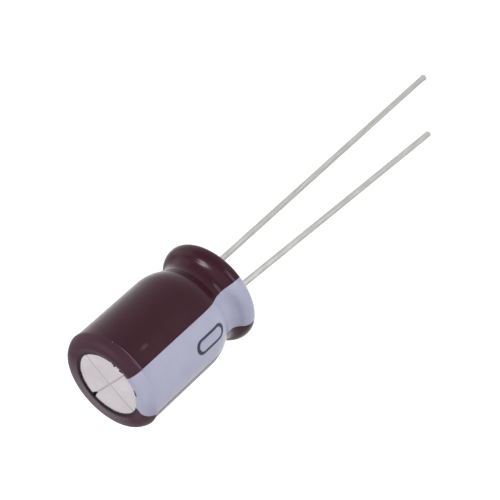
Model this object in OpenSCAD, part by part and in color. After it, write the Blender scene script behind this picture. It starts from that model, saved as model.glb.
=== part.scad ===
// Radial aluminium electrolytic capacitor, stood on its seating plane with the vent up.
// The origin is the middle of the seating plane, between the leads. The leads lie along X
// and point down, with the positive one at +X and the negative one at -X.

/* [Can] */
// Outer diameter of the bare can
can_d = 8; // [6.6:0.1:10]
// Wall of the can
can_t = 0.25; // [0.15:0.01:0.3]
// Thickness of the can's closed end
top_t = 0.3; // [0.25:0.01:0.5]
// Outer corner radius of the closed end
corner_r = 0.6; // [0.4:0.05:0.9]
// Height of the closed end above the seating plane
can_top = 12.05; // [11:0.05:22]
// How far the bead round the lead end stands out from the wall
bead_step = 0.13; // [0:0.01:0.2]

/* [Groove and curl] */
// Depth of the groove that grips the bung, from the wall to its floor
groove_depth = 0.75; // [0.5:0.05:0.9]
// Radius of the groove's floor in section
groove_r = 1.1; // [0.9:0.05:1.3]
// Radius that blends the groove into the wall
blend_r = 3.8; // [2.5:0.05:4.2]
// Radius that blends the groove into the bead
bead_r = 0.85; // [0.75:0.05:0.95]
// Outer radius of the roll at the open end
roll_r = 0.42; // [0.38:0.01:0.5]
// Outer radius of the lip that is turned up into the bung
lip_r = 0.35; // [0.3:0.01:0.4]
// Distance from the wall in to the opening inside the turned lip
lip_in = 0.9; // [0.8:0.05:1.1]

/* [Vent] */
// Width of each scored line
score_w = 0.24; // [0.15:0.01:0.35]
// Distance from the wall in to the ends of the scored lines, which run on under the sleeve
score_in = 0.9; // [0.7:0.05:1.2]
// Turn of the cross about the axis
score_turn = 38.5; // [0:0.5:90]

/* [Sleeve] */
// Thickness of the shrunk sleeve on the wall
sleeve_t = 0.1; // [0.06:0.01:0.15]
// Thickness of the sleeve where it draws in over the closed end
sleeve_top_t = 0.25; // [0.15:0.01:0.35]
// Outer radius of the sleeve's shoulder
shoulder_r = 0.8; // [0.6:0.05:1]
// Distance from the wall in to the sleeve's edge, which leaves a bare disc inside it
sleeve_lap = 1.24; // [1:0.02:1.5]
// Rounding of the sleeve's edge round the disc
edge_r = 0.09; // [0.04:0.01:0.12]
// Distance from the wall in to the sleeve's opening round the bung
sleeve_end_in = 0.55; // [0.4:0.05:0.75]

/* [Bung] */
// Height of the rubber bung
bung_h = 3.4; // [3.2:0.05:4]
// How far the bung stands below the sleeve's rolled end
bung_proud = 0.05; // [0.02:0.01:0.2]
// Rounding round the bung's outer face
bung_edge_r = 0.12; // [0.05:0.01:0.2]

/* [Leads] */
// Distance between the two leads
pitch = 3.5; // [3.2:0.05:3.8]
// Diameter of the tinned wire
wire_d = 0.5; // [0.4:0.01:0.6]
// Length of the positive lead from the seating plane
anode_len = 30.5; // [15:0.5:35]
// Length of the negative lead from the seating plane, along the wire
cathode_len = 23.5; // [12:0.5:30]
// Angle at which the negative lead splays outwards
splay = 4.5; // [1:0.1:8]
// Diameter of the weld between the wire and the tab
weld_d = 0.8; // [0.7:0.02:0.9]
// Depth of the weld's face inside the bung's hole
weld_z = 0.3; // [0.25:0.01:0.6]
// Height of the weld's taper down to the wire
weld_h = 0.28; // [0.15:0.01:0.3]
// How far the weld's thin end stands out from the wire
weld_step = 0.05; // [0.03:0.01:0.08]

/* [Tabs] */
// Diameter of the tab's round stem
stem_d = 1.1; // [1:0.02:1.3]
// Gap between the bung and the tab's pressed blade
blade_gap = 0.1; // [0.05:0.01:0.3]
// Thickness of the pressed blade
blade_t = 0.2; // [0.15:0.01:0.25]
// Half of the blade's width, as an angle round the element
blade_angle = 22.5; // [15:7.5:22.5]
// Turn at which the anode blade is wound in
blade_turn = 3; // [2:1:4]

/* [Wound element] */
// Radius of the hollow left by the winding pin
core_r = 0.7; // [0.5:0.05:0.9]
// Room left between the element and the wall
element_fit = 0.15; // [0.1:0.01:0.4]
// Thickness of the etched anode foil
anode_t = 0.1; // [0.07:0.01:0.11]
// Thickness of the cathode foil
cathode_t = 0.05; // [0.03:0.01:0.06]
// Thickness of each separator paper
paper_t = 0.05; // [0.03:0.01:0.06]
// Thickness of the stop tape
tape_t = 0.05; // [0.03:0.01:0.06]
// Width of the stop tape
tape_w = 5; // [3:0.1:6]
// Gap between the bung and the element
element_gap = 0.6; // [0.5:0.05:1]
// Gap between the element and the closed end
top_gap = 0.3; // [0.2:0.05:1]
// How far the papers stand past the foils at each end
paper_margin = 0.5; // [0.2:0.05:0.8]

/* [Fits] */
// Clearance between pieces that are gripped or shrunk together
fit = 0.01; // [0.005:0.001:0.02]
// Clearance between neighbouring layers of the element
layer_gap = 0.012; // [0.01:0.001:0.02]

/* [Hidden] */
$fn = 64;
arc_step = 8;
eps = 0.01;

// Diameters that follow the can's
bead_d = can_d + 2 * bead_step;
groove_d = can_d - 2 * groove_depth;
lip_d = can_d - 2 * lip_in;
disc_d = can_d - 2 * sleeve_lap;
sleeve_hole_d = can_d - 2 * sleeve_end_in;
score_len = can_d - 2 * score_in;

// Centres of the arcs in the can's section, as [radius, height]
roll_z = bung_proud + sleeve_t + roll_r;
roll_c = [bead_d / 2 - roll_r, roll_z];
bead_c = [bead_d / 2 - bead_r, roll_z];
groove_z = roll_z + arc_rise(groove_r + bead_r, groove_d / 2 + groove_r - bead_d / 2 + bead_r);
groove_c = [groove_d / 2 + groove_r, groove_z];
blend_c = [can_d / 2 - blend_r,
    groove_z + arc_rise(groove_r + blend_r, groove_d / 2 + groove_r - can_d / 2 + blend_r)];

// The turned lip starts where its arc's centre lies over the rolled end
lip_c = [lip_d / 2 + lip_r, roll_z - roll_r + lip_r];
sleeve_end_z = roll_z - roll_r - sleeve_t;
sleeve_top_z = can_top + sleeve_top_t;

// Layers of the element from the inside out, as offsets from the start of a turn
inner_paper_at = 0;
anode_at = inner_paper_at + paper_t + layer_gap;
outer_paper_at = anode_at + anode_t + layer_gap;
cathode_at = outer_paper_at + paper_t + layer_gap;
turn_rise = cathode_at + cathode_t + layer_gap;

// The anode blade lies at +X and the cathode blade half a turn before it, at -X
anode_blade_at = 360 * blade_turn;
cathode_blade_at = anode_blade_at - 180;
blade_bump = blade_t + 2 * layer_gap;
bump_angle = 60;
station = 7.5;

// As many turns as the can has room for, ending half a turn from where they began
winding_room = can_d / 2 - can_t - element_fit - core_r - blade_bump - tape_t;
turns = floor(winding_room / turn_rise) - 0.5;

paper_z = bung_h + element_gap;
paper_top = can_top - top_t - top_gap;
foil_z = paper_z + paper_margin;
foil_top = paper_top - paper_margin;
stem_top = bung_h + element_gap / 2;
blade_z = bung_h + blade_gap;

// Directions from the bead's and the blend's centres to the groove's
low_a = atan2(groove_c.y - bead_c.y, groove_c.x - bead_c.x);
high_a = atan2(groove_c.y - blend_c.y, groove_c.x - blend_c.x);

// Height between the centres of two arcs that touch, from the sum of their radii and the side step
function arc_rise(radii, side) = sqrt(radii * radii - side * side);

// Points along an arc, both ends included
function arc(centre, r, from, to) = let (steps = ceil(abs(to - from) / arc_step))
    [for (i = [0:steps]) let (a = from + (to - from) * i / steps) centre + r * [cos(a), sin(a)]];
function reversed(points) = [for (i = [len(points) - 1:-1:0]) points[i]];

// Section of the surface that lies off outside the bare can, from the rolled end to the closed end
function case_line(off, top_z, top_r) = concat(
    arc(roll_c, roll_r + off, -90, 0),
    arc(bead_c, bead_r + off, 0, low_a),
    arc(groove_c, groove_r - off, 180 + low_a, 180 + high_a),
    arc(blend_c, blend_r + off, high_a, 0),
    arc([can_d / 2 + off - top_r, top_z - top_r], top_r, 0, 90));

module can() color("#d3cdd0") difference() {
    rotate_extrude() polygon(concat(
        arc(lip_c, lip_r, 180, 270),
        case_line(0, can_top, corner_r),
        [[0, can_top], [0, can_top - top_t]],
        reversed(case_line(-can_t, can_top - top_t, corner_r - can_t)),
        arc(lip_c, lip_r - can_t, 270, 180)));
    for (turn = [0, 90]) rotate(score_turn + turn) vent_score();
}

// One scored line of the vent, a channel of V section
module vent_score() translate([-score_len / 2, 0, can_top]) rotate([45, 0, 0])
    translate([0, -score_w / sqrt(8), -score_w / sqrt(8)])
        cube([score_len, score_w / sqrt(2), score_w / sqrt(2)]);

module sleeve() color("#432d34") rotate_extrude() polygon(concat(
    [[sleeve_hole_d / 2, sleeve_end_z]],
    case_line(sleeve_t, sleeve_top_z, shoulder_r),
    arc([disc_d / 2 + edge_r, sleeve_top_z - edge_r], edge_r, 90, 180),
    [[disc_d / 2, can_top + fit]],
    reversed(case_line(fit, can_top + fit, corner_r + fit)),
    [[sleeve_hole_d / 2, sleeve_end_z + sleeve_t - fit]]));

module bung() color("#26262a") difference() {
    boss_r = lip_d / 2 - fit;
    rotate_extrude() intersection() {
        polygon(concat(
            [[0, 0]],
            arc([boss_r - bung_edge_r, bung_edge_r], bung_edge_r, -90, 0),
            // the rubber bulges through the lip and fills the hollow behind it
            [[boss_r, lip_c.y + fit], [lip_c.x - lip_r + can_t + fit, lip_c.y + fit]],
            arc(lip_c, lip_r - can_t - fit, 180, 270),
            case_line(-can_t - fit, can_top, corner_r),
            [[0, can_top]]));
        square([bead_d, bung_h]);
    }
    for (side = [-1, 1]) translate([side * pitch / 2, 0, -eps])
        cylinder(d = stem_d + 2 * fit, h = bung_h + 2 * eps);
}

// Weld on the end of the tab's stem, tapering towards the wire
module weld() translate([0, 0, weld_z - weld_h])
    cylinder(d1 = wire_d + 2 * weld_step, d2 = weld_d, h = weld_h);

// Wire from inside the weld to a sheared tip with broken edges, its length measured from the seating plane
module wire(len) {
    chamfer = wire_d / 8;
    translate([0, 0, chamfer - len]) cylinder(d = wire_d, h = len - chamfer + weld_z - weld_h / 2);
    translate([0, 0, -len]) cylinder(d1 = wire_d - 2 * chamfer, d2 = wire_d, h = chamfer);
}

module anode_lead() color("#bdbbb9") translate([pitch / 2, 0, 0]) {
    weld();
    wire(anode_len);
}

// The wire turns outwards where it leaves the weld
module cathode_lead() color("#bdbbb9") translate([-pitch / 2, 0, 0]) {
    weld();
    rotate([0, splay, 0]) wire(cathode_len);
}

// Stem through the bung and the blade that is pressed from its end
module tab(side, blade_at, foil_at, foil_t) {
    translate([side * pitch / 2, 0, weld_z]) cylinder(d = stem_d, h = stem_top - weld_z);
    translate([0, 0, blade_z]) linear_extrude(foil_top - blade_z)
        wound_strip(blade_at - blade_angle, blade_at + blade_angle, foil_at, blade_t, foil_t + layer_gap);
}

module anode_tab() color("#c9c9cc") tab(1, anode_blade_at, anode_at, anode_t);
module cathode_tab() color("#c9c9cc") tab(-1, cathode_blade_at, cathode_at, cathode_t);

// A layer rises over a blade once it lies outside it, and smoothly within bump_angle of its middle
function bump(angle, at) = let (a = abs((angle - at + 180) % 360 - 180))
    a > bump_angle ? 0 : a < 2 * blade_angle ? blade_bump
    : blade_bump * (bump_angle - a) / (bump_angle - 2 * blade_angle);
function lifted(angle, layer_at, at, inner_at) = angle > at + 180 || (angle > at - 180 && layer_at > inner_at);
function lift(angle, layer_at) =
    (lifted(angle, layer_at, anode_blade_at, anode_at) ? bump(angle, anode_blade_at) : 0)
    + (lifted(angle, layer_at, cathode_blade_at, cathode_at) ? bump(angle, cathode_blade_at) : 0);
function layer_r(angle, layer_at) = core_r + turn_rise * angle / 360 + layer_at + lift(angle, layer_at);

// Outline of a strip of thickness t that is wound from one angle to another, above its layer's start
module wound_strip(from, to, layer_at, t, above = 0) {
    angles = [for (a = [from:station:to]) a];
    inside = [for (a = angles) (layer_r(a, layer_at) + above) * [cos(a), sin(a)]];
    outside = [for (a = angles) (layer_r(a, layer_at) + above + t) * [cos(a), sin(a)]];
    polygon(concat(inside, reversed(outside)));
}

module anode_foil() color("#9fa2a6") translate([0, 0, foil_z]) linear_extrude(foil_top - foil_z)
    wound_strip(0, 360 * turns, anode_at, anode_t);

module cathode_foil() color("#b4b6b9") translate([0, 0, foil_z]) linear_extrude(foil_top - foil_z)
    wound_strip(0, 360 * turns, cathode_at, cathode_t);

module inner_separator() color("#d9cdb4") translate([0, 0, paper_z]) linear_extrude(paper_top - paper_z)
    wound_strip(0, 360 * turns, inner_paper_at, paper_t);

module outer_separator() color("#e2d8c2") translate([0, 0, paper_z]) linear_extrude(paper_top - paper_z)
    wound_strip(0, 360 * turns, outer_paper_at, paper_t);

// The tape goes once round, in the place of the next turn
module stop_tape() color("#d8a93a") translate([0, 0, (paper_z + paper_top - tape_w) / 2]) linear_extrude(tape_w)
    wound_strip(360 * turns + station, 360 * (turns + 1) + station, 0, tape_t);

sleeve();
can();
bung();
anode_lead();
cathode_lead();
anode_tab();
cathode_tab();
anode_foil();
inner_separator();
cathode_foil();
outer_separator();
stop_tape();
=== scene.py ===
import math
import bpy
from mathutils import Matrix, Quaternion, Vector


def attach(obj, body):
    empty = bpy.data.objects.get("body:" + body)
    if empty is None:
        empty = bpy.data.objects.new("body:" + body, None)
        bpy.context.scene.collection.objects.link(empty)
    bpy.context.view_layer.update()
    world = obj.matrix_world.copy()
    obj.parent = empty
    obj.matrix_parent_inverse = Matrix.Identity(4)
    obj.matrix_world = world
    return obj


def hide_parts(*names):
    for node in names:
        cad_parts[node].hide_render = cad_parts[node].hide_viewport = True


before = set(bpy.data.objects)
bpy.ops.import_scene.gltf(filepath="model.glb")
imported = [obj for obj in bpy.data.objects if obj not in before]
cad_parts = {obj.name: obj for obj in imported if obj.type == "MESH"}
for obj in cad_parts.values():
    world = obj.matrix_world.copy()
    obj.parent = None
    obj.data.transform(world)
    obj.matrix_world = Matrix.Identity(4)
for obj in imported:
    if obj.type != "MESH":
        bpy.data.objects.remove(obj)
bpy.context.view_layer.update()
mm = 0.001
mergeGap = 0.0005 * mm
noiseRange = (0.3, 0.7)  # a noise texture's values mostly lie between these
leastWeight = 0.001  # a vertex that would be pressed by a smaller share is left out
scene = bpy.context.scene
print("frame loaded:", sorted(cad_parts))


# Colours and nodes
def linear(code):
    # an sRGB hex code as linear light, with full opacity
    channels = [int(code[i:i + 2], 16) / 255 for i in (1, 3, 5)]
    return [c / 12.92 if c <= 0.04045 else ((c + 0.055) / 1.055) ** 2.4 for c in channels] + [1]


def addNode(tree, kind, sockets=(), **settings):
    # sockets holds values in order, or by name in a dictionary; a node there gives its first open output
    node = tree.nodes.new("ShaderNode" + kind)
    for key, value in settings.items():
        setattr(node, key, value)
    if isinstance(sockets, dict):
        pairs = [(node.inputs[key], value) for key, value in sockets.items()]
    else:
        pairs = list(zip([socket for socket in node.inputs if socket.enabled], sockets))
    for socket, value in pairs:
        if isinstance(value, bpy.types.Node):
            value = next(output for output in value.outputs if output.enabled)
        if isinstance(value, bpy.types.NodeSocket):
            tree.links.new(value, socket)
        else:
            socket.default_value = value
    return node


def newMaterial(name):
    material = bpy.data.materials.new(name)
    material.use_nodes = True
    material.node_tree.nodes.clear()
    return material, material.node_tree


# Selection and modifiers
def clearSelection():
    if bpy.context.object and bpy.context.object.mode != "OBJECT":
        bpy.ops.object.mode_set(mode="OBJECT")
    bpy.ops.object.select_all(action="DESELECT")


def selectOnly(piece):
    clearSelection()
    piece.select_set(True)
    bpy.context.view_layer.objects.active = piece


def editVertices(piece, chosen):
    # opens edit mode with only the chosen vertices selected
    selectOnly(piece)
    bpy.ops.object.mode_set(mode="EDIT")
    bpy.ops.mesh.select_all(action="DESELECT")
    bpy.ops.object.mode_set(mode="OBJECT")
    for vertex in piece.data.vertices:
        vertex.select = chosen(vertex.co)
    bpy.ops.object.mode_set(mode="EDIT")
    bpy.ops.mesh.select_mode(type="VERT")


def applyModifier(piece, kind, **settings):
    selectOnly(piece)
    modifier = piece.modifiers.new(kind.lower(), kind)
    for key, value in settings.items():
        setattr(modifier, key, value)
    bpy.ops.object.modifier_apply(modifier=modifier.name)


# Sections, turned pieces and pressed detail
def arcPoints(centre, radius, fromAngle, toAngle, step=6.0):
    count = max(1, math.ceil(abs(toAngle - fromAngle) / step))
    angles = [math.radians(fromAngle + (toAngle - fromAngle) * i / count) for i in range(count + 1)]
    return [(centre[0] + radius * math.cos(a), centre[1] + radius * math.sin(a)) for a in angles]


def spread(points, longest=9.0):
    # points added along the straight runs, so that the mesh is even enough to press
    out = [points[0]]
    for (r0, z0), (r1, z1) in zip(points, points[1:]):
        length = math.hypot(r1 - r0, z1 - z0)
        if length < 1e-6:  # the same point twice
            continue
        count = max(1, math.ceil(length / longest))
        out += [(r0 + (r1 - r0) * i / count, z0 + (z1 - z0) * i / count) for i in range(1, count + 1)]
    return out


def turnSection(name, section, segments, closed):
    # the section is drawn point by point from a corner of a small plane, then spun once round
    clearSelection()
    bpy.ops.mesh.primitive_plane_add(size=mm, location=(0, 0, 0))
    piece = bpy.context.object
    piece.name = piece.data.name = name
    bpy.ops.object.mode_set(mode="EDIT")
    bpy.ops.mesh.select_all(action="SELECT")
    bpy.ops.mesh.merge(type="CENTER")
    bpy.ops.transform.translate(value=(section[0][0] * mm, 0, section[0][1] * mm))
    for (r0, z0), (r1, z1) in zip(section, section[1:]):
        step = ((r1 - r0) * mm, 0, (z1 - z0) * mm)
        bpy.ops.mesh.extrude_region_move(TRANSFORM_OT_translate={"value": step})
    bpy.ops.mesh.select_all(action="SELECT")
    if closed:
        bpy.ops.mesh.remove_doubles(threshold=mergeGap)
    bpy.ops.mesh.spin(steps=segments, angle=2 * math.pi, center=(0, 0, 0), axis=(0, 0, 1))
    bpy.ops.mesh.select_all(action="SELECT")
    bpy.ops.mesh.remove_doubles(threshold=mergeGap)
    bpy.ops.mesh.normals_make_consistent(inside=False)
    bpy.ops.object.mode_set(mode="OBJECT")
    return piece


def press(piece, name, weightAt, strength, direction="NORMAL", grain=None):
    # a Displace modifier on a vertex group, as if painted; grain is the size of a cloud texture in mm
    group = piece.vertex_groups.new(name=name)
    for vertex in piece.data.vertices:
        weight = weightAt(vertex.co / mm)
        if weight > leastWeight:
            group.add([vertex.index], min(weight, 1.0), "REPLACE")
    settings = dict(vertex_group=name, strength=strength * mm, direction=direction, mid_level=0.0)
    if grain:
        clouds = bpy.data.textures.new(name, "CLOUDS")
        clouds.noise_scale = grain * mm
        settings.update(texture=clouds, texture_coords="LOCAL", mid_level=0.5)
    applyModifier(piece, "DISPLACE", **settings)
    piece.vertex_groups.remove(piece.vertex_groups[name])


def smoothStep(value, low, high):
    t = min(max((value - low) / (high - low), 0.0), 1.0)
    return t * t * (3 - 2 * t)


def finishPiece(piece, material, node, angle):
    selectOnly(piece)
    bpy.ops.object.transform_apply(location=True, rotation=True, scale=True)
    bpy.ops.object.shade_smooth_by_angle(angle=math.radians(angle))
    piece.data.materials.clear()
    piece.data.materials.append(material)
    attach(piece, "root")
    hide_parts(node)
    print(piece.name, "made:", len(piece.data.polygons), "faces")


# Camera: the photograph's angle, rolled so that the leads run to the upper right
camera = {
    "aim": (0, 0, 6.15), "distance": 140.9, "angle": 223.51, "elevation": 30.12, "roll": -132.34,
    "focalPixels": 1920.8, "frame": 500, "aimPixel": (161.06, 335.86), "sensor": 36.0,
    "near": 10.0, "far": 5000.0,
}


def outward(angle, elevation):
    a, e = math.radians(angle), math.radians(elevation)
    return Vector((math.cos(a) * math.cos(e), math.sin(a) * math.cos(e), math.sin(e)))


def placeCamera():
    data = bpy.data.cameras.new("camera")
    data.sensor_width = camera["sensor"]
    data.lens = camera["sensor"] * camera["focalPixels"] / camera["frame"]
    data.clip_start, data.clip_end = camera["near"] * mm, camera["far"] * mm
    body = bpy.data.objects.new("camera", data)
    scene.collection.objects.link(body)
    back = outward(camera["angle"], camera["elevation"])
    look = (-back).to_track_quat("-Z", "Y")
    rolled = look @ Quaternion((0, 0, 1), math.radians(camera["roll"]))
    # the aim point lies off the middle of the picture, so the camera is turned aside by that ray
    half = camera["frame"] / 2
    ray = Vector(((camera["aimPixel"][0] - half) / camera["focalPixels"],
                  -(camera["aimPixel"][1] - half) / camera["focalPixels"], -1)).normalized()
    offset = ray.rotation_difference(Vector((0, 0, -1)))
    body.rotation_mode = "QUATERNION"
    body.location = Vector(camera["aim"]) * mm + back * camera["distance"] * mm
    body.rotation_quaternion = rolled @ offset
    scene.camera = body
    print("camera placed")


# Can: its outer line is shared with the sleeve and the bung
can = {
    "radius": 4.0, "wall": 0.25, "topWall": 0.3, "top": 12.05, "corner": 0.6,
    "bead": 4.13, "beadRound": 0.85, "groove": 3.25, "grooveRound": 1.1, "blend": 3.8,
    "roll": 0.42, "rollZ": 0.57, "lip": 0.35, "opening": 3.1,
    "segments": 320, "discStep": 0.036, "discRadius": 3.0, "outerMesh": 0.5, "innerMesh": 0.8,
    "lipArc": 15, "smooth": 60,
    # the vent's cross: line widths, depths, and the one end that is deep and wide, all in mm
    "scoreFloor": 0.04, "scoreHalf": 0.1, "scoreReach": 3.1,
    "scoreTurn": 38.5, "scoreCentre": (-0.22, -0.08),
    "scoreDepth": 0.2, "scoreShallow": 0.08, "scoreEnd": 0.2, "scoreFlare": 0.1, "endFocus": 16,
    "rimFrom": 1.95, "rimTo": 2.5, "flareFrom": 2.3, "flareTo": 2.95, "scoreBand": 0.02,
    # the disc's slight crown, and the four soft pillows between the lines
    "crown": 0.05, "pillow": 0.02, "faceBand": 0.15, "pillowFrom": 0.1, "pillowTo": 1.0, "pillowEdge": 2.2,
    # the finish; the vent's lines are painted darker as painted shade, darkest where they are deep
    "satin": "#D2CBD0", "satinDull": "#C6BFC4", "streakTone": "#BBB4B9", "pressedShadeTone": "#A39DA1",
    "deepShadeTone": "#3C3437", "deepFrom": 0.01, "deepTo": 0.08, "patch": 1.6,
    "streak": 0.8, "streakSqueeze": 12, "streakTurn": 20, "streakRange": (0.35, 0.75), "streakShare": 0.35,
    "roughness": (0.2, 0.28), "pressedRoughness": 0.35, "grain": 0.12, "bump": 0.25, "relief": 0.004,
}


def arcRise(radii, side):
    # height between the centres of two arcs that touch
    return math.sqrt(radii * radii - side * side)


def caseLine(off, topZ, topRadius, step=6.0):
    # outline off outside the bare can, from the rolled end up to the closed end
    bead, bow, groove, blend, r = (can[k] for k in ("beadRound", "grooveRound", "groove", "blend", "radius"))
    beadC = (can["bead"] - bead, can["rollZ"])
    grooveC = (groove + bow, can["rollZ"] + arcRise(bow + bead, groove + bow - can["bead"] + bead))
    blendC = (r - blend, grooveC[1] + arcRise(bow + blend, groove + bow - r + blend))
    low = math.degrees(math.atan2(grooveC[1] - beadC[1], grooveC[0] - beadC[0]))
    high = math.degrees(math.atan2(grooveC[1] - blendC[1], grooveC[0] - blendC[0]))
    return (arcPoints((can["bead"] - can["roll"], can["rollZ"]), can["roll"] + off, -90, 0, step)
            + arcPoints(beadC, bead + off, 0, low, step)[1:]
            + arcPoints(grooveC, bow - off, 180 + low, 180 + high, step)[1:]
            + arcPoints(blendC, blend + off, high, 0, step)[1:]
            + arcPoints((r + off - topRadius, topZ - topRadius), topRadius, 0, 90, step))


def scoreDistance(p):
    # distance from the nearest line of the vent's cross, growing twice as fast past a line's end
    distances = []
    for turn in (can["scoreTurn"], can["scoreTurn"] + 90):
        a = math.radians(turn)
        x, y = p.x - can["scoreCentre"][0], p.y - can["scoreCentre"][1]
        along, across = x * math.cos(a) + y * math.sin(a), y * math.cos(a) - x * math.sin(a)
        distances.append(abs(across) + 2 * max(0.0, abs(along) - can["scoreReach"]))
    return min(distances)


def scoreWeight(p):
    # pressed channels with a narrow floor, shallow in the middle; one end is deep and wide at the rim
    if p.z < can["top"] - can["scoreBand"]:
        return 0.0
    toEnd = math.atan2(p.y, p.x) - math.radians(can["scoreTurn"])
    deep = max(0.0, math.cos(toEnd)) ** can["endFocus"]
    rim = smoothStep(p.xy.length, can["rimFrom"], can["rimTo"])
    atRim = can["scoreEnd"] + (1 - can["scoreEnd"]) * deep
    depth = can["scoreShallow"] + rim * (atRim - can["scoreShallow"])
    flare = can["scoreFlare"] * deep * smoothStep(p.xy.length, can["flareFrom"], can["flareTo"])
    return depth * (1 - smoothStep(scoreDistance(p), can["scoreFloor"] + flare, can["scoreHalf"] + flare))


def crownWeight(p):
    if p.z < can["top"] - can["faceBand"]:
        return 0.0
    return max(0.0, 1 - (p.x * p.x + p.y * p.y) / can["discRadius"] ** 2)


def pillowWeight(p):
    if p.z < can["top"] - can["faceBand"] or p.xy.length > can["discRadius"]:
        return 0.0
    return (smoothStep(scoreDistance(p), can["pillowFrom"], can["pillowTo"])
            * (1 - smoothStep(p.xy.length, can["pillowEdge"], can["discRadius"])))


def makeCan(material):
    lipC = (can["opening"] + can["lip"], can["rollZ"] - can["roll"] + can["lip"])
    wall, top = can["wall"], can["top"]
    innerTop = top - can["topWall"]
    outer = spread(caseLine(0, top, can["corner"]), can["outerMesh"])
    rings = math.ceil(can["discRadius"] / can["discStep"])
    disc = [(can["discRadius"] * (rings - i) / rings, top) for i in range(rings + 1)]
    inner = spread([(0, innerTop)] + caseLine(-wall, innerTop, can["corner"] - wall)[::-1], can["innerMesh"])
    section = spread(arcPoints(lipC, can["lip"], 180, 270, can["lipArc"]) + outer + disc + inner
                     + arcPoints(lipC, can["lip"] - wall, 270, 180, can["lipArc"]))
    section.append(section[0])
    piece = turnSection("can_drawn", section, can["segments"], True)
    press(piece, "crown", crownWeight, can["crown"], "Z")
    press(piece, "pillow", pillowWeight, can["pillow"], "Z")
    press(piece, "score", scoreWeight, -can["scoreDepth"], "Z")
    finishPiece(piece, material, "can", can["smooth"])


def aluminium():
    # impact-extruded aluminium, satin: nearly white, soft broad reflections, fine drawn streaks;
    # the real grain is a few hundredths of a millimetre, and is drawn coarser so that it shows
    material, tree = newMaterial("aluminium impact extruded satin")
    place = addNode(tree, "TexCoord").outputs["Object"]
    fine = addNode(tree, "TexNoise", {"Vector": place, "Scale": 1 / (can["grain"] * mm), "Detail": 3.0})
    patches = addNode(tree, "TexNoise", {"Vector": place, "Scale": 1 / (can["patch"] * mm), "Detail": 2.0})
    stretched = addNode(tree, "Mapping", {
        "Vector": place, "Rotation": (0, 0, math.radians(can["streakTurn"])),
        "Scale": (1, can["streakSqueeze"], 1)})
    streaks = addNode(tree, "TexNoise", {
        "Vector": stretched, "Scale": 1 / (can["streak"] * mm), "Detail": 2.0})
    patchy = addNode(tree, "MapRange", (patches, *noiseRange))
    streaky = addNode(tree, "MapRange", (streaks, *can["streakRange"], 0.0, can["streakShare"]))
    tone = addNode(tree, "Mix", (patchy, linear(can["satinDull"]), linear(can["satin"])), data_type="RGBA")
    tone = addNode(tree, "Mix", (streaky, tone, linear(can["streakTone"])), data_type="RGBA")
    # the pressed lines of the cross are rougher than the drawn face, and painted darker as painted shade in
    # the channels
    centred = addNode(tree, "Mapping", {
        "Vector": place, "Location": [-v * mm for v in can["scoreCentre"]] + [0]})
    turned = addNode(tree, "Mapping", {
        "Vector": centred, "Rotation": (0, 0, -math.radians(can["scoreTurn"]))})
    x, y = addNode(tree, "SeparateXYZ", (turned,)).outputs[:2]
    fromX = addNode(tree, "Math", (x,), operation="ABSOLUTE")
    fromY = addNode(tree, "Math", (y,), operation="ABSOLUTE")
    nearest = addNode(tree, "Math", (fromX, fromY), operation="MINIMUM")
    pressed = addNode(tree, "MapRange", (nearest, can["scoreHalf"] * mm, can["scoreFloor"] * mm))
    tone = addNode(tree, "Mix", (pressed, tone, linear(can["pressedShadeTone"])), data_type="RGBA")
    # painted shade: the lines are painted darkest where they are deep, standing in for their shadow and the
    # dark reflection of the film's edge
    height = addNode(tree, "SeparateXYZ", (place,)).outputs["Z"]
    sunkShade = addNode(tree, "MapRange", (height, (can["top"] - can["deepFrom"]) * mm,
                                      (can["top"] - can["deepTo"]) * mm))
    level = addNode(tree, "VectorMath", (place, (1, 1, 0)), operation="MULTIPLY")
    fromAxis = addNode(tree, "VectorMath", (level,), operation="LENGTH")
    onDisc = addNode(tree, "Math", (fromAxis, can["discRadius"] * mm), operation="LESS_THAN")
    deep = addNode(tree, "Math", (sunkShade, onDisc), operation="MULTIPLY")
    tone = addNode(tree, "Mix", (deep, tone, linear(can["deepShadeTone"])), data_type="RGBA")
    worn = addNode(tree, "MapRange", (fine, *noiseRange, *can["roughness"]))
    lines = addNode(tree, "Math", (pressed, deep), operation="MAXIMUM")
    dull = addNode(tree, "Math", (lines, can["pressedRoughness"]), operation="MULTIPLY")
    rough = addNode(tree, "Math", (worn, dull), operation="ADD")
    bump = addNode(tree, "Bump", {"Strength": can["bump"], "Distance": can["relief"] * mm, "Height": fine})
    shader = addNode(tree, "BsdfPrincipled", {"Base Color": tone, "Metallic": 1.0, "Roughness": rough,
                                              "Normal": bump})
    addNode(tree, "OutputMaterial", (shader,))
    return material


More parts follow.
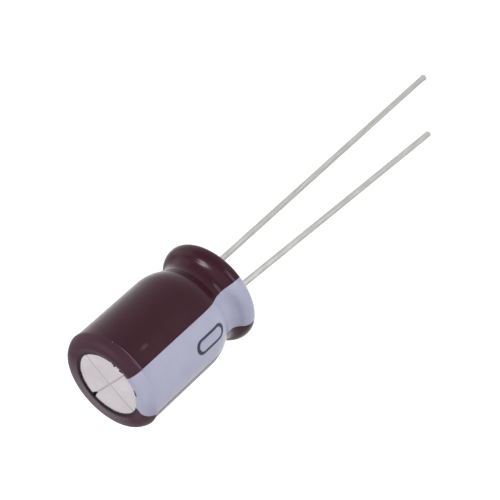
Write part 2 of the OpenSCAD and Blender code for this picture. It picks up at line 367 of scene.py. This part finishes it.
# Sleeve: film shrunk over the can, and its print
sleeve = {
    "thickness": 0.1, "topThickness": 0.25, "shoulder": 0.8, "disc": 2.8, "edge": 0.06, "edgeHeight": 0.13,
    "hole": 3.45, "fit": 0.01, "segments": 224, "outerMesh": 0.16, "innerMesh": 0.5,
    "outerArc": 5, "innerArc": 8, "edgeArc": 22.5, "smooth": 40,
    "wallShare": 0.9, "faceBand": 0.02, "edgeBand": 0.01, "topBand": 0.5,
    # the small step where the film gathers as it turns in over the corner
    "ridge": 0.05, "ridgeZ": 11.44, "ridgeStep": 0.05, "ridgeFrom": 0.05, "ridgeFade": 0.4,
    "ridgeMesh": 0.02, "ridgeBelow": 0.12, "ridgeAbove": 0.2,
    # the cut edge: out of round, wavy, and torn on one side; reaches are measured from the opening
    "oval": 0.953, "ovalTurn": 133.5, "waviness": 0.05, "waveGrain": 0.9, "waveReach": (0.05, 0.35),
    "nick": 0.45, "nickGrain": 0.13, "nickAngle": 232.0, "nickFull": 9.6, "nickHalf": 16.0,
    "nickReach": (0.02, 0.16),
    # one short crease left by the shrinking
    "wrinkle": 0.05, "wrinkleAt": (-2.81, -2.98, 10.15), "wrinkleHalf": 0.5, "wrinkleWidth": 0.2,
    # the film's colours; it is duller on the shoulder, and painted paler there as painted light, most of all
    # on one side
    "brown": "#361521", "brownDeep": "#30111C", "cloud": 2.5, "speck": 0.15, "orangePeel": 1.1,
    "bump": 0.2, "relief": 0.02, "ior": 1.5, "specular": 0.11,
    "sheen": 0.12, "sheenRoughness": 0.35, "sheenTint": "#F0EAF2",
    "roughness": (0.17, 0.23), "shoulderDull": 0.34, "dullRange": (0.1, 0.25),
    "shoulderLitTone": "#3B222D", "shoulderLitPale": "#675B62", "litAngle": 43.0, "litRange": (0.2, 0.95),
    "shoulderLightRange": (-0.02, 0.04),
    # painted shade: the cut edge is painted dark, and one short dark dash is painted on the stripe at the
    # edge
    "edgeShadeTone": "#24161C", "edgeShadeReach": 0.17, "dashAngle": 185.5, "dashHalf": 6.0, "dashSoft": 1.5,
    "dashReach": (0.21, 0.17),
    # painted highlights: a pale line on the step on one side, a paler patch on the crease and one bright
    # glint
    "stepHighlightTone": "#6A5560", "ridgeAngle": 226.0, "ridgeFull": 8.8, "ridgeHalf": 22.0,
    "ridgeLine": (0.06, 0.02), "ridgeLineAt": 0.03,
    "creaseHighlightTone": "#4A323B", "glintTone": "#A08A94", "glintAt": (-1.28, -3.89, 11.51), "glintSize": 0.08,
    "spotCore": 0.3,
    # the stripe, in degrees round the can, twisted and drawn in a little towards the rolled end
    "stripe": "#9D9DB2", "stripeLight": "#A5A5B9", "printSoft": 0.15,
    "stripeCentre": 182.2, "stripeHalf": 29.1,
    "twist": -5.0, "twistTop": 3.4, "twistEnd": 0.3, "pinch": 2.3, "pinchTop": 1.7,
    # the outlined polarity mark on it
    "ink": "#3A3646", "inkWidth": 0.22, "inkEnd": 0.05, "inkSoft": 0.02, "leastReach": 0.01,
    "markAngle": 183.7, "markZ": 5.06, "markLength": 3.04, "markWidth": 1.26,
}


def refine(points, low, high, longest):
    # a run of the section between two heights gets shorter steps, for a crease
    out = [points[0]]
    for start, end in zip(points, points[1:]):
        onWall = start[0] > can["radius"] * sleeve["wallShare"]
        near = onWall and max(start[1], end[1]) > low and min(start[1], end[1]) < high
        out += (spread([start, end], longest) if near else spread([start, end]))[1:]
    return out


def narrowOpening(piece):
    # the film's opening shrank a little out of round
    edge = (sleeve["disc"] + sleeve["edge"] + sleeve["edgeBand"]) * mm
    editVertices(piece, lambda co: co.z > can["top"] * mm and co.xy.length < edge)
    across = Matrix.Rotation(math.radians(sleeve["ovalTurn"]), 3, "Z")
    bpy.ops.transform.resize(value=(sleeve["oval"], 1, 1), center_override=(0, 0, 0), orient_matrix=across,
                             orient_matrix_type="LOCAL", orient_type="LOCAL")
    bpy.ops.object.mode_set(mode="OBJECT")


def onOuterFace(p):
    # true on the film's outer face near the shoulder
    middle = can["corner"] + sleeve["fit"] + 0.5 * sleeve["thickness"]
    centre = can["radius"] - can["corner"]
    if p.z < can["top"] - can["corner"]:
        return p.xy.length > can["radius"] + 0.5 * sleeve["thickness"]
    return math.hypot(max(p.xy.length - centre, 0.0), p.z - (can["top"] - can["corner"])) > middle


def ridgeWeight(p):
    # the film gathers where it turns in over the corner: a small step, then it thins out again
    s = sleeve
    if not onOuterFace(p):
        return 0.0
    step = smoothStep(p.z, s["ridgeZ"] - s["ridgeStep"] / 2, s["ridgeZ"] + s["ridgeStep"] / 2)
    return step * (1 - smoothStep(p.z, s["ridgeZ"] + s["ridgeFrom"], s["ridgeZ"] + s["ridgeFade"]))


def edgeWeight(p, reach):
    # full at the film's cut edge, fading out over reach
    if p.z <= can["top"] + sleeve["faceBand"]:
        return 0.0
    return 1 - smoothStep(p.xy.length, sleeve["disc"] + reach[0], sleeve["disc"] + reach[1])


def waveWeight(p):
    return edgeWeight(p, sleeve["waveReach"])


def nickWeight(p):
    # the cut edge is torn a little on one side
    turn = abs((math.degrees(math.atan2(p.y, p.x)) - sleeve["nickAngle"] + 180) % 360 - 180)
    near = 1 - smoothStep(turn, sleeve["nickFull"], sleeve["nickHalf"])
    return near * edgeWeight(p, sleeve["nickReach"])


def wrinkleWeight(p):
    offset = p - Vector(sleeve["wrinkleAt"])
    return (max(0.0, 1 - abs(offset.z) / sleeve["wrinkleHalf"])
            * (1 - smoothStep(offset.xy.length, 0.0, sleeve["wrinkleWidth"])))


def makeSleeve(material):
    s, top = sleeve, can["top"]
    endZ = can["rollZ"] - can["roll"] - s["thickness"]
    edge = arcPoints((s["disc"] + s["edge"], top + s["edgeHeight"] - s["edge"]), s["edge"],
                     90, 180, s["edgeArc"])
    outer = caseLine(s["thickness"], top + s["topThickness"], s["shoulder"], s["outerArc"])
    outer = spread([(s["hole"], endZ)] + outer + edge, s["outerMesh"])
    outer = refine(outer, s["ridgeZ"] - s["ridgeBelow"],
                   s["ridgeZ"] + s["ridgeAbove"], s["ridgeMesh"])
    inner = caseLine(s["fit"], top + s["fit"], can["corner"] + s["fit"], s["innerArc"])[::-1]
    inner = spread([(s["disc"], top + s["fit"])] + inner + [(s["hole"], endZ + s["thickness"] - s["fit"])],
                   s["innerMesh"])
    section = outer + inner
    section.append(section[0])
    piece = turnSection("sleeve_shrunk", section, s["segments"], True)
    narrowOpening(piece)
    press(piece, "ridge", ridgeWeight, s["ridge"])
    press(piece, "ragged", waveWeight, s["waviness"], grain=s["waveGrain"])
    press(piece, "nicked", nickWeight, s["nick"], grain=s["nickGrain"])
    press(piece, "wrinkle", wrinkleWeight, s["wrinkle"])
    finishPiece(piece, material, "sleeve", s["smooth"])


def aroundFrom(tree, angle, centre):
    # degrees round the can from centre, where angle is counted from the middle of the stripe
    return addNode(tree, "Math", (angle, centre - sleeve["stripeCentre"]), operation="SUBTRACT")


def stripeMask(tree, angle, z):
    s = sleeve
    twist = addNode(tree, "MapRange", (z, s["twistTop"] * mm, s["twistEnd"] * mm, 0.0, s["twist"]))
    twisted = addNode(tree, "Math", (angle, twist), operation="ADD")
    fromMiddle = addNode(tree, "Math", (twisted,), operation="ABSOLUTE")
    half = addNode(tree, "MapRange", (z, s["pinchTop"] * mm, s["twistEnd"] * mm,
                                      s["stripeHalf"], s["stripeHalf"] - s["pinch"]))
    past = addNode(tree, "Math", (fromMiddle, half), operation="SUBTRACT")
    return addNode(tree, "MapRange", (past, s["printSoft"], -s["printSoft"]))


def markMask(tree, angle, z):
    # distance from a short line along the can, less half the mark's width, gives its outline
    s = sleeve
    degree = math.pi / 180 * (can["radius"] + s["thickness"])
    across = addNode(tree, "Math", (aroundFrom(tree, angle, s["markAngle"]), degree), operation="MULTIPLY")
    height = addNode(tree, "Math", (z, 1 / mm), operation="MULTIPLY")
    along = addNode(tree, "Math", (height, s["markZ"]), operation="SUBTRACT")
    along = addNode(tree, "Math", (along,), operation="ABSOLUTE")
    past = addNode(tree, "Math", (along, (s["markLength"] - s["markWidth"]) / 2), operation="SUBTRACT")
    past = addNode(tree, "Math", (past, 0.0), operation="MAXIMUM")
    acrossSquared = addNode(tree, "Math", (across, across), operation="MULTIPLY")
    pastSquared = addNode(tree, "Math", (past, past), operation="MULTIPLY")
    reach = addNode(tree, "Math", (acrossSquared, pastSquared), operation="ADD")
    reach = addNode(tree, "Math", (reach,), operation="SQRT")
    rim = addNode(tree, "Math", (reach, (s["markWidth"] - s["inkWidth"]) / 2), operation="SUBTRACT")
    rim = addNode(tree, "Math", (rim,), operation="ABSOLUTE")
    # shrinking narrows the printed lines round the can, not along it, so the mark's ends stay heavier
    safeReach = addNode(tree, "Math", (reach, s["leastReach"]), operation="MAXIMUM")
    endShare = addNode(tree, "Math", (past, safeReach), operation="DIVIDE")
    heavier = addNode(tree, "Math", (endShare, s["inkEnd"]), operation="MULTIPLY")
    rim = addNode(tree, "Math", (rim, heavier), operation="SUBTRACT")
    half = s["inkWidth"] / 2
    return addNode(tree, "MapRange", (rim, half + s["inkSoft"], half - s["inkSoft"]))


def brownFilm(tree, place, angle, z, cloudy):
    s = sleeve
    brown = addNode(tree, "Mix", (cloudy, linear(s["brownDeep"]), linear(s["brown"])), data_type="RGBA")
    # painted light: the shoulder above the step is painted paler, most of all on one side, standing in for
    # the lighter reflection there
    shoulderLightAt = [(s["ridgeZ"] + rise) * mm for rise in s["shoulderLightRange"]]
    litShoulder = addNode(tree, "MapRange", (z, *shoulderLightAt))
    fromLitSide = aroundFrom(tree, angle, s["litAngle"])
    fromLitSide = addNode(tree, "Math", (fromLitSide, math.pi / 180), operation="MULTIPLY")
    fromLitSide = addNode(tree, "Math", (fromLitSide,), operation="COSINE")
    litSide = addNode(tree, "MapRange", (fromLitSide, *s["litRange"]))
    shoulder = addNode(tree, "Mix", (litSide, linear(s["shoulderLitTone"]), linear(s["shoulderLitPale"])),
                       data_type="RGBA")
    brown = addNode(tree, "Mix", (litShoulder, brown, shoulder), data_type="RGBA")
    # painted highlights: a pale line along the step on one side, a paler patch along the short crease and
    # one bright glint on the step
    fromStep = addNode(tree, "Math", (z, (s["ridgeZ"] + s["ridgeLineAt"]) * mm), operation="SUBTRACT")
    fromStep = addNode(tree, "Math", (fromStep,), operation="ABSOLUTE")
    onStep = addNode(tree, "MapRange", (fromStep, s["ridgeLine"][0] * mm, s["ridgeLine"][1] * mm))
    aside = addNode(tree, "Math", (aroundFrom(tree, angle, s["ridgeAngle"]),), operation="ABSOLUTE")
    nearSide = addNode(tree, "MapRange", (aside, s["ridgeHalf"], s["ridgeFull"]))
    stepHighlight = addNode(tree, "Math", (onStep, nearSide), operation="MULTIPLY")
    brown = addNode(tree, "Mix", (stepHighlight, brown, linear(s["stepHighlightTone"])), data_type="RGBA")
    for spot, squeeze, size, tone in ((s["wrinkleAt"], 0.4, s["wrinkleWidth"], s["creaseHighlightTone"]),
                                      (s["glintAt"], 1.0, s["glintSize"], s["glintTone"])):
        offset = addNode(tree, "Mapping", {"Vector": place, "Location": [-v * mm for v in spot]})
        squeezed = addNode(tree, "VectorMath", (offset, (1, 1, squeeze)), operation="MULTIPLY")
        away = addNode(tree, "VectorMath", (squeezed,), operation="LENGTH")
        near = addNode(tree, "MapRange", (away, size * mm, size * s["spotCore"] * mm))
        brown = addNode(tree, "Mix", (near, brown, linear(tone)), data_type="RGBA")
    return brown


def edgeShadeMask(tree, place, angle, z, stripe):
    # painted shade: the brown film is painted dark towards its cut edge, for the shadowed edge and gap, and
    # the stripe is painted dark in one short dash at the edge
    s = sleeve
    level = addNode(tree, "VectorMath", (place, (1, 1, 0)), operation="MULTIPLY")
    radius = addNode(tree, "VectorMath", (level,), operation="LENGTH")
    atTop = addNode(tree, "Math", (z, (can["top"] - s["topBand"]) * mm), operation="GREATER_THAN")
    cut = addNode(tree, "MapRange", (radius, (s["disc"] + s["edgeShadeReach"]) * mm, s["disc"] * mm))
    unstriped = addNode(tree, "Math", (1.0, stripe), operation="SUBTRACT")
    cut = addNode(tree, "Math", (cut, unstriped), operation="MULTIPLY")
    dashAt = [(s["disc"] + reach) * mm for reach in s["dashReach"]]
    near = addNode(tree, "MapRange", (radius, *dashAt))
    aside = addNode(tree, "Math", (aroundFrom(tree, angle, s["dashAngle"]),), operation="ABSOLUTE")
    beside = addNode(tree, "MapRange", (aside, s["dashHalf"], s["dashHalf"] - s["dashSoft"]))
    dash = addNode(tree, "Math", (near, beside), operation="MULTIPLY")
    dark = addNode(tree, "Math", (dash, cut), operation="MAXIMUM")
    return addNode(tree, "Math", (atTop, dark), operation="MULTIPLY")


def printedFilm():
    # extruded film, heat shrunk: smooth, softly glossy, printed with one stripe and a polarity mark
    s = sleeve
    material, tree = newMaterial("shrink film printed")
    place = addNode(tree, "TexCoord").outputs["Object"]
    x, y, z = addNode(tree, "SeparateXYZ", (place,)).outputs
    # angle round the can, measured from the middle of the stripe
    backwards = addNode(tree, "Math", (x, -1.0), operation="MULTIPLY")
    sideways = addNode(tree, "Math", (y, -1.0), operation="MULTIPLY")
    angle = addNode(tree, "Math", (sideways, backwards), operation="ARCTAN2")
    angle = addNode(tree, "Math", (angle, 180 / math.pi), operation="MULTIPLY")
    angle = addNode(tree, "Math", (angle, s["stripeCentre"] - 180), operation="SUBTRACT")
    cloud = addNode(tree, "TexNoise", {"Vector": place, "Scale": 1 / (s["cloud"] * mm), "Detail": 3.0})
    speck = addNode(tree, "TexNoise", {"Vector": place, "Scale": 1 / (s["speck"] * mm), "Detail": 2.0})
    peel = addNode(tree, "TexNoise", {"Vector": place, "Scale": 1 / (s["orangePeel"] * mm), "Detail": 1.0})
    cloudy = addNode(tree, "MapRange", (cloud, *noiseRange))
    stripe = stripeMask(tree, angle, z)
    brown = brownFilm(tree, place, angle, z, cloudy)
    pale = addNode(tree, "Mix", (cloudy, linear(s["stripe"]), linear(s["stripeLight"])), data_type="RGBA")
    pale = addNode(tree, "Mix", (markMask(tree, angle, z), pale, linear(s["ink"])), data_type="RGBA")
    film = addNode(tree, "Mix", (stripe, brown, pale), data_type="RGBA")
    dark = edgeShadeMask(tree, place, angle, z, stripe)
    film = addNode(tree, "Mix", (dark, film, linear(s["edgeShadeTone"])), data_type="RGBA")
    gloss = addNode(tree, "MapRange", (speck, *noiseRange, *s["roughness"]))
    dullAt = [(s["ridgeZ"] + rise) * mm for rise in s["dullRange"]]
    dull = addNode(tree, "MapRange", (z, *dullAt, 0.0, s["shoulderDull"]))
    rough = addNode(tree, "Math", (gloss, dull), operation="ADD")
    bump = addNode(tree, "Bump", {"Strength": s["bump"], "Distance": s["relief"] * mm, "Height": peel})
    shader = addNode(tree, "BsdfPrincipled", {
        "Base Color": film, "Roughness": rough, "Normal": bump, "IOR": s["ior"],
        "Specular IOR Level": s["specular"], "Sheen Weight": s["sheen"],
        "Sheen Roughness": s["sheenRoughness"], "Sheen Tint": linear(s["sheenTint"])})
    addNode(tree, "OutputMaterial", (shader,))
    return material


# Bung: the rubber seal in the can's mouth
bung = {
    "height": 3.4, "edge": 0.12, "fit": 0.01, "hole": 0.56, "pitch": 3.5, "segments": 160, "faceMesh": 0.3,
    "flare": 0.1, "cutterSegments": 48, "cutterPast": 0.5, "cutterWider": 0.3,
    "edgeArc": 15, "lipArc": 30, "flareArc": 15, "smooth": 30,
    "black": "#1F1F22", "bloomTone": "#313135", "bloom": 1.4, "bloomRange": (0.35, 0.75),
    "roughness": (0.62, 0.8), "specular": 0.35, "grain": 0.09, "bump": 0.3, "relief": 0.01,
}


def makeBung(material):
    b, wall = bung, can["wall"]
    boss = can["opening"] - b["fit"]
    lipC = (can["opening"] + can["lip"], can["rollZ"] - can["roll"] + can["lip"])
    side = [p for p in caseLine(-wall - b["fit"], can["top"], can["corner"]) if p[1] <= b["height"]]
    face = [(0, 0)] + arcPoints((boss - b["edge"], b["edge"]), b["edge"], -90, 0, b["edgeArc"])
    section = spread(face, b["faceMesh"])
    section += [(boss, lipC[1] + b["fit"]), (lipC[0] - can["lip"] + wall + b["fit"], lipC[1] + b["fit"])]
    section += arcPoints(lipC, can["lip"] - wall - b["fit"], 180, 270, b["lipArc"]) + side
    section += [(side[-1][0], b["height"]), (0, b["height"])]
    piece = turnSection("bung_moulded", spread(section), b["segments"], False)
    mouth = b["hole"] + b["flare"]
    hole = ([(0, -b["cutterPast"]), (mouth + b["cutterWider"], -b["cutterPast"])]
            + arcPoints((mouth, b["flare"]), b["flare"], 270, 180, b["flareArc"])
            + [(b["hole"], b["height"] + b["cutterPast"]), (0, b["height"] + b["cutterPast"])])
    for end in (-1, 1):
        cutter = turnSection("cutter", hole, b["cutterSegments"], False)
        cutter.location.x = end * b["pitch"] / 2 * mm
        applyModifier(piece, "BOOLEAN", object=cutter, operation="DIFFERENCE", solver="EXACT")
        bpy.data.objects.remove(cutter)
    finishPiece(piece, material, "bung", b["smooth"])


def rubber():
    # moulded butyl rubber: black, matt, with a dusty bloom and a fine grain, drawn coarse enough to show
    material, tree = newMaterial("butyl rubber moulded")
    place = addNode(tree, "TexCoord").outputs["Object"]
    bloom = addNode(tree, "TexNoise", {"Vector": place, "Scale": 1 / (bung["bloom"] * mm), "Detail": 4.0})
    grain = addNode(tree, "TexNoise", {"Vector": place, "Scale": 1 / (bung["grain"] * mm), "Detail": 2.0})
    dusty = addNode(tree, "MapRange", (bloom, *bung["bloomRange"]))
    tone = addNode(tree, "Mix", (dusty, linear(bung["black"]), linear(bung["bloomTone"])), data_type="RGBA")
    rough = addNode(tree, "MapRange", (bloom, *noiseRange, *bung["roughness"]))
    bump = addNode(tree, "Bump", {"Strength": bung["bump"], "Distance": bung["relief"] * mm,
                                  "Height": grain})
    shader = addNode(tree, "BsdfPrincipled", {"Base Color": tone, "Roughness": rough, "Normal": bump,
                                              "Specular IOR Level": bung["specular"]})
    addNode(tree, "OutputMaterial", (shader,))
    return material


# Leads
lead = {
    "wire": 0.25, "chamfer": 0.0625, "weld": 0.4, "weldTop": 0.3, "weldHeight": 0.28, "weldStep": 0.05,
    "weldRound": 0.06, "fillet": 0.012, "filletBelow": 0.008, "filletAbove": 0.01,
    "segments": 40, "wireMesh": 0.6, "bendMesh": 0.05, "endPlain": 0.3, "bendPlain": 0.1,
    "chamferFrom": -60, "chamferArc": 20, "weldArc": 22.5, "smooth": 40,
    "anode": 30.5, "cathode": 23.5, "splay": 4.5, "bendFrom": -0.02, "bendTo": -0.22, "bendSteps": 5,
    "tin": "#AEADAB", "tinDull": "#969593", "streak": 0.12, "streakStretch": 0.08,
    "roughness": (0.32, 0.46), "bump": 0.2, "relief": 0.004,
}


def bendBelow(piece, z, degrees):
    editVertices(piece, lambda co: co.z < z * mm)
    bpy.ops.transform.rotate(value=math.radians(-degrees), orient_axis="Y", center_override=(0, 0, 0))
    bpy.ops.object.mode_set(mode="OBJECT")


def makeLead(name, node, at, length, splay, material):
    w = lead
    low = w["weldTop"] - w["weldHeight"]
    weldC = (w["weld"] - w["weldRound"], w["weldTop"] - w["weldRound"])
    section = ([(0, -length), (w["wire"] - w["chamfer"], -length)]
               + arcPoints((w["wire"] - w["chamfer"], -length + w["chamfer"]), w["chamfer"],
                           w["chamferFrom"], 0, w["chamferArc"])
               + spread([(w["wire"], -length + w["endPlain"]), (w["wire"], w["bendTo"] - w["bendPlain"])],
                        w["wireMesh"])
               + spread([(w["wire"], w["bendTo"]), (w["wire"], w["bendFrom"])], w["bendMesh"]))
    # the solder that wets the joint climbs from the wire on to the weld
    section += ([(w["wire"] + w["fillet"], low - w["filletBelow"]),
                 (w["wire"] + w["weldStep"], low + w["filletAbove"])]
                + arcPoints(weldC, w["weldRound"], 0, 90, w["weldArc"]) + [(0, w["weldTop"])])
    piece = turnSection(name, spread(section), w["segments"], False)
    if splay:
        # bent in small steps where it leaves the weld, so that the wire keeps its roundness
        for i in range(w["bendSteps"]):
            z = w["bendFrom"] + (w["bendTo"] - w["bendFrom"]) * i / (w["bendSteps"] - 1)
            bendBelow(piece, z, splay / w["bendSteps"])
    piece.location.x = at * mm
    finishPiece(piece, material, node, w["smooth"])


def tinnedWire():
    # copper-plated steel wire, hot tinned: pale grey metal, satin, with faint lengthwise streaks
    material, tree = newMaterial("steel wire hot tinned")
    place = addNode(tree, "TexCoord").outputs["Object"]
    stretched = addNode(tree, "Mapping", {"Vector": place, "Scale": (1, 1, lead["streakStretch"])})
    streaks = addNode(tree, "TexNoise", {
        "Vector": stretched, "Scale": 1 / (lead["streak"] * mm), "Detail": 3.0})
    streaky = addNode(tree, "MapRange", (streaks, *noiseRange))
    tone = addNode(tree, "Mix", (streaky, linear(lead["tinDull"]), linear(lead["tin"])), data_type="RGBA")
    rough = addNode(tree, "MapRange", (streaks, *noiseRange, *lead["roughness"]))
    bump = addNode(tree, "Bump", {"Strength": lead["bump"], "Distance": lead["relief"] * mm,
                                  "Height": streaks})
    shader = addNode(tree, "BsdfPrincipled", {"Base Color": tone, "Metallic": 1.0, "Roughness": rough,
                                              "Normal": bump})
    addNode(tree, "OutputMaterial", (shader,))
    return material


# Inner pieces keep their CAD meshes and get their real finish
innerRelief = 0.01
inside = {
    # name: (dark, light, metallic, roughness range, grain mm, stretch along z, bump, nodes)
    "aluminium wire pressed": ("#B9B9BD", "#D2D2D6", 1.0, (0.3, 0.42), 0.2, 0.1, 0.2,
                               ("anode_tab", "cathode_tab")),
    "anode foil etched and formed": ("#8E9195", "#A4A7AB", 1.0, (0.6, 0.75), 0.05, 1.0, 0.5,
                                     ("anode_foil",)),
    "cathode foil etched": ("#A9ABAF", "#BDBFC3", 1.0, (0.5, 0.65), 0.05, 1.0, 0.4, ("cathode_foil",)),
    "separator paper soaked": ("#CDBF9F", "#E0D5BC", 0.0, (0.5, 0.7), 0.25, 0.4, 0.5,
                               ("inner_separator", "outer_separator")),
    "stop tape film": ("#C9952B", "#DDAF45", 0.0, (0.3, 0.4), 0.6, 1.0, 0.1, ("stop_tape",)),
}


def innerFinish(name):
    # pressed wire, etched foil, wet paper or tape: each a quiet two-tone grain at its own size
    dark, light, metallic, roughness, grain, stretch, relief, nodes = inside[name]
    material, tree = newMaterial(name)
    place = addNode(tree, "TexCoord").outputs["Object"]
    stretched = addNode(tree, "Mapping", {"Vector": place, "Scale": (1, 1, stretch)})
    noise = addNode(tree, "TexNoise", {"Vector": stretched, "Scale": 1 / (grain * mm), "Detail": 4.0})
    grainy = addNode(tree, "MapRange", (noise, *noiseRange))
    tone = addNode(tree, "Mix", (grainy, linear(dark), linear(light)), data_type="RGBA")
    rough = addNode(tree, "MapRange", (noise, *noiseRange, *roughness))
    bump = addNode(tree, "Bump", {"Strength": relief, "Distance": innerRelief * mm, "Height": noise})
    shader = addNode(tree, "BsdfPrincipled", {"Base Color": tone, "Metallic": metallic, "Roughness": rough,
                                              "Normal": bump})
    addNode(tree, "OutputMaterial", (shader,))
    for node in nodes:
        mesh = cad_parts[node].data
        mesh.materials.clear()
        mesh.materials.append(material)


# Studio: white surroundings, a matt paper floor and five soft lamps
studio = {
    "worldFill": 0.15, "floorZ": -30.5, "floorSize": 3000.0, "floorColor": "#F2F2F2", "floorLift": 0.45,
    # name: (angle, elevation, distance mm, width mm, height mm, watts)
    "lamps": {
        "overhead": (250, 70, 300, 400, 400, 0.5),
        "key": (-59, 56, 300, 60, 84, 0.5),
        "strip": (-145, 0, 100, 56, 36, 0.046),
        "fill": (136, 16, 300, 240, 240, 0.27),
        "side": (-28, 12, 300, 240, 240, 0.18),
    },
}


def seenRays(tree):
    # 1 for the camera's rays and what gloss and glass mirror of them, 0 for the light that falls on things
    path = addNode(tree, "LightPath")
    mirrored = addNode(tree, "Math", (path.outputs["Is Glossy Ray"], path.outputs["Is Transmission Ray"]),
                       operation="MAXIMUM")
    return addNode(tree, "Math", (path.outputs["Is Camera Ray"], mirrored), operation="MAXIMUM")


def makeWorld():
    scene.world = bpy.data.worlds.new("studio")
    scene.world.use_nodes = True
    tree = scene.world.node_tree
    tree.nodes.clear()
    strength = addNode(tree, "MapRange", (seenRays(tree), 0.0, 1.0, studio["worldFill"], 1.0))
    sky = addNode(tree, "Background", {"Color": linear("#FFFFFF"), "Strength": strength})
    addNode(tree, "OutputWorld", (sky,))


def makeFloor():
    clearSelection()
    bpy.ops.mesh.primitive_plane_add(size=studio["floorSize"] * mm, location=(0, 0, studio["floorZ"] * mm))
    floor = bpy.context.object
    floor.name = "floor"
    bpy.ops.object.transform_apply(location=True)
    # uncoated paper, matt: it keeps the shadow, and a little lift keeps it white behind the object
    material, tree = newMaterial("paper backdrop matt")
    paper = addNode(tree, "BsdfDiffuse", {"Color": linear(studio["floorColor"])})
    strength = addNode(tree, "Math", (seenRays(tree), studio["floorLift"]), operation="MULTIPLY")
    lift = addNode(tree, "Emission", {"Strength": strength})
    both = addNode(tree, "AddShader", (paper, lift))
    # seen from below the paper is clear, so that the rubber end shows
    clear = addNode(tree, "BsdfTransparent")
    below = addNode(tree, "NewGeometry").outputs["Backfacing"]
    shown = addNode(tree, "MixShader", (below, both, clear))
    addNode(tree, "OutputMaterial", (shown,))
    floor.data.materials.append(material)


def makeLamps():
    for name, (angle, elevation, distance, width, height, watts) in studio["lamps"].items():
        lamp = bpy.data.lights.new(name, "AREA")
        lamp.shape = "RECTANGLE"
        lamp.size, lamp.size_y = width * mm, height * mm
        lamp.energy = watts
        body = bpy.data.objects.new(name, lamp)
        scene.collection.objects.link(body)
        out = outward(angle, elevation)
        body.location = Vector(camera["aim"]) * mm + out * distance * mm
        body.rotation_mode = "QUATERNION"
        body.rotation_quaternion = (-out).to_track_quat("-Z", "Y")


placeCamera()
makeCan(aluminium())
makeSleeve(printedFilm())
makeBung(rubber())
wireFinish = tinnedWire()
makeLead("lead_positive", "anode_lead", bung["pitch"] / 2, lead["anode"], 0, wireFinish)
makeLead("lead_negative", "cathode_lead", -bung["pitch"] / 2, lead["cathode"], lead["splay"], wireFinish)
for name in inside:
    innerFinish(name)
print("inner pieces finished")
makeWorld()
makeFloor()
makeLamps()
scene.view_settings.view_transform = "Standard"
print("studio set")
